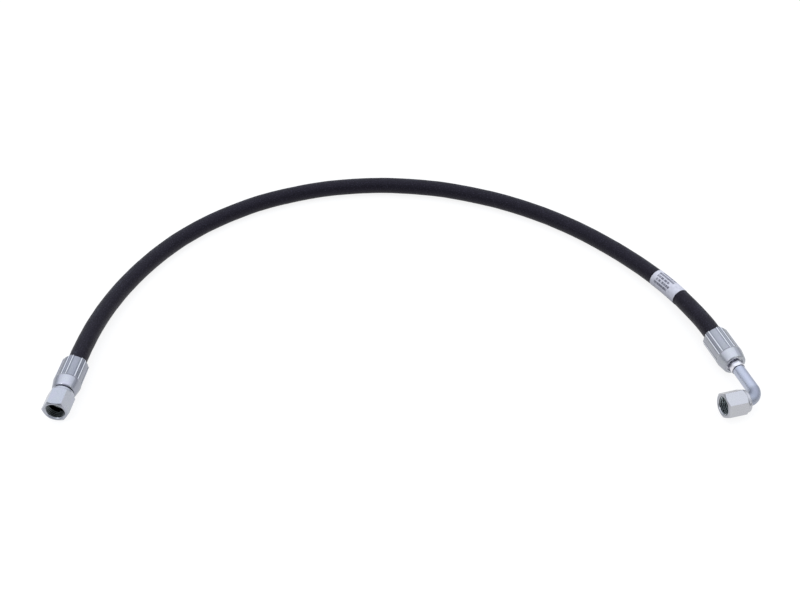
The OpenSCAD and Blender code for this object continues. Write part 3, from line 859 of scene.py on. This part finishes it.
def lay_floor():
    bm = bmesh.new()
    bmesh.ops.create_grid(bm, x_segments=1, y_segments=1, size=FLOOR_HALF)
    mesh = bpy.data.meshes.new("floor")
    bm.to_mesh(mesh)
    bm.free()
    floor = bpy.data.objects.new("floor", mesh)
    floor.location.z = -FLOOR_DROP
    bpy.context.scene.collection.objects.link(floor)
    material, tree = new_material("white floor")
    seen = add(tree, "LightPath")
    direct = maths(tree, "MAXIMUM", seen.outputs["Is Camera Ray"], seen.outputs["Is Glossy Ray"])
    direct = maths(tree, "MAXIMUM", direct, seen.outputs["Is Transmission Ray"])
    glow = add(tree, "Emission", Color=(1, 1, 1, 1))
    join(tree, (times(tree, direct, FLOOR_GLOW), glow.inputs["Strength"]))
    matt = add(tree, "BsdfDiffuse", Color=FLOOR_GREY)
    both = add(tree, "AddShader")
    join(tree, (glow.outputs[0], both.inputs[0]), (matt.outputs[0], both.inputs[1]),
         (both.outputs[0], add(tree, "OutputMaterial").inputs["Surface"]))
    mesh.materials.append(material)


def light_world():
    """A soft room, the same for every ray: brightest overhead, dimmer low down and towards the front."""
    world = bpy.data.worlds.new("studio")
    world.use_nodes = True
    tree = world.node_tree
    tree.nodes.clear()
    split = add(tree, "SeparateXYZ")
    join(tree, (add(tree, "TexCoord").outputs["Generated"], split.inputs[0]))
    up, back = split.outputs["Z"], split.outputs["Y"]
    walls = ranged(tree, up, 0.0, 0.40, SKIRTING, WALLS)
    ceiling = plus(tree, walls, ranged(tree, up, 0.5, 0.95, 0.0, OVERHEAD))
    room = times(tree, ceiling, ranged(tree, back, -0.95, 0.0, FRONT, 1.0))
    sky = add(tree, "Background", Color=ROOM_TINT)
    join(tree, (room, sky.inputs["Strength"]), (sky.outputs[0], add(tree, "OutputWorld").inputs["Surface"]))
    bpy.context.scene.world = world


def hang_light(name, location, watts):
    """A square softbox aimed at the middle of the table."""
    data = bpy.data.lights.new(name, "AREA")
    data.shape, data.size, data.energy = "SQUARE", LAMP_SIZE, watts
    lamp = bpy.data.objects.new(name, data)
    lamp.location = location
    lamp.rotation_euler = (-Vector(location)).to_track_quat("-Z", "Y").to_euler()
    bpy.context.scene.collection.objects.link(lamp)


# ---------------------------------------------------------------- the assembly
set_camera()
path, hose_length = hose_path()

plate = zinc_plate_group()
ferrule_look = dict(roughness=.28, drift=.3, marks=.3, bump=.35)
ferrule_zinc_a = plated_metal("ferrule zinc a", plate, (.44, .455, .505), dulling_and_painted_shade=.8, **ferrule_look)
ferrule_zinc_b = plated_metal("ferrule zinc b", plate, (.465, .48, .515), dulling_and_painted_shade=.68, **ferrule_look)
nut_look = dict(roughness=.27, marks=.2, turning=.3, bore=THREAD_MAJOR + 0.15,
                bore_depth=NUT_LEN - MOUTH_CHAMFER, face=NUT_LEN)
# the bore colours are painted: shade in nut a's bore, light in nut b's
nut_zinc_a = plated_metal("nut zinc a", plate, (.44, .46, .51), drift=.25, bore_painted_shading=(.13, .145, .15),
                          **nut_look)
nut_zinc_b = plated_metal("nut zinc b", plate, (.465, .47, .495), drift=.12, bore_painted_shading=(.62, .69, .72),
                          **nut_look)
tube_zinc = plated_metal("tube zinc", plate, (.44, .47, .56), .33, drift=.25, marks=.12, dulling_and_painted_shade=.45)
collar_zinc = plated_metal("collar zinc", plate, (.78, .77, .82), .28, drift=.25, marks=.25, turning=.3)
# painted light: the parts deep inside the nuts get a lighter, matt copy of the plate so they show in the dark
# bore
inner_zinc_painted_light = plated_metal("inner zinc painted light", plate, (.62, .69, .65), .5, metallic=0.0, own=False)
braze_dark = plated_metal("dark braze", plate, (.07, .07, .09), .5, drift=.1, marks=.5)
o_ring = seal_rubber()

hose = make_hose(path, hose_length, hose_rubber(hose_length))
label = make_label(path, hose_length, label_film())

make_ferrule("crimped_ferrule_a", STRAIGHT_END, PLACE_A, ferrule_zinc_a, "ferrule_a", dots=((160, 15.0),))
make_ferrule("crimped_ferrule_b", ELBOW_END, PLACE_B, ferrule_zinc_b, "ferrule_b")
make_insert_b(collar_zinc)
make_elbow_tube(tube_zinc)
make_braze_ring(braze_dark)
make_nut("hex_nut_a", NUT_A_PLACE, NUT_TURN["a"], nut_zinc_a, "swivel_nut_a", "nut_a")
make_nut("hex_nut_b", NUT_B_PLACE, NUT_TURN["b"], nut_zinc_b, "swivel_nut_b", "nut_b")
make_thread("thread_a", NUT_A_PLACE, nut_zinc_a, "nut_a")
make_thread("thread_b", NUT_B_PLACE, nut_zinc_b, "nut_b")
for node, material in (("insert_a", inner_zinc_painted_light), ("cone_head_b", inner_zinc_painted_light), ("cone_seal_a", o_ring),
                       ("cone_seal_b", o_ring)):
    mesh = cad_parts[node].data
    mesh.materials.clear()
    mesh.materials.append(material)

lay_floor()
light_world()
hang_light("left softbox", (-.85, -.65, .95), 1.5)
hang_light("right softbox", (.95, -.95, .62), 0.7)
bpy.context.scene.view_settings.view_transform = "Standard"
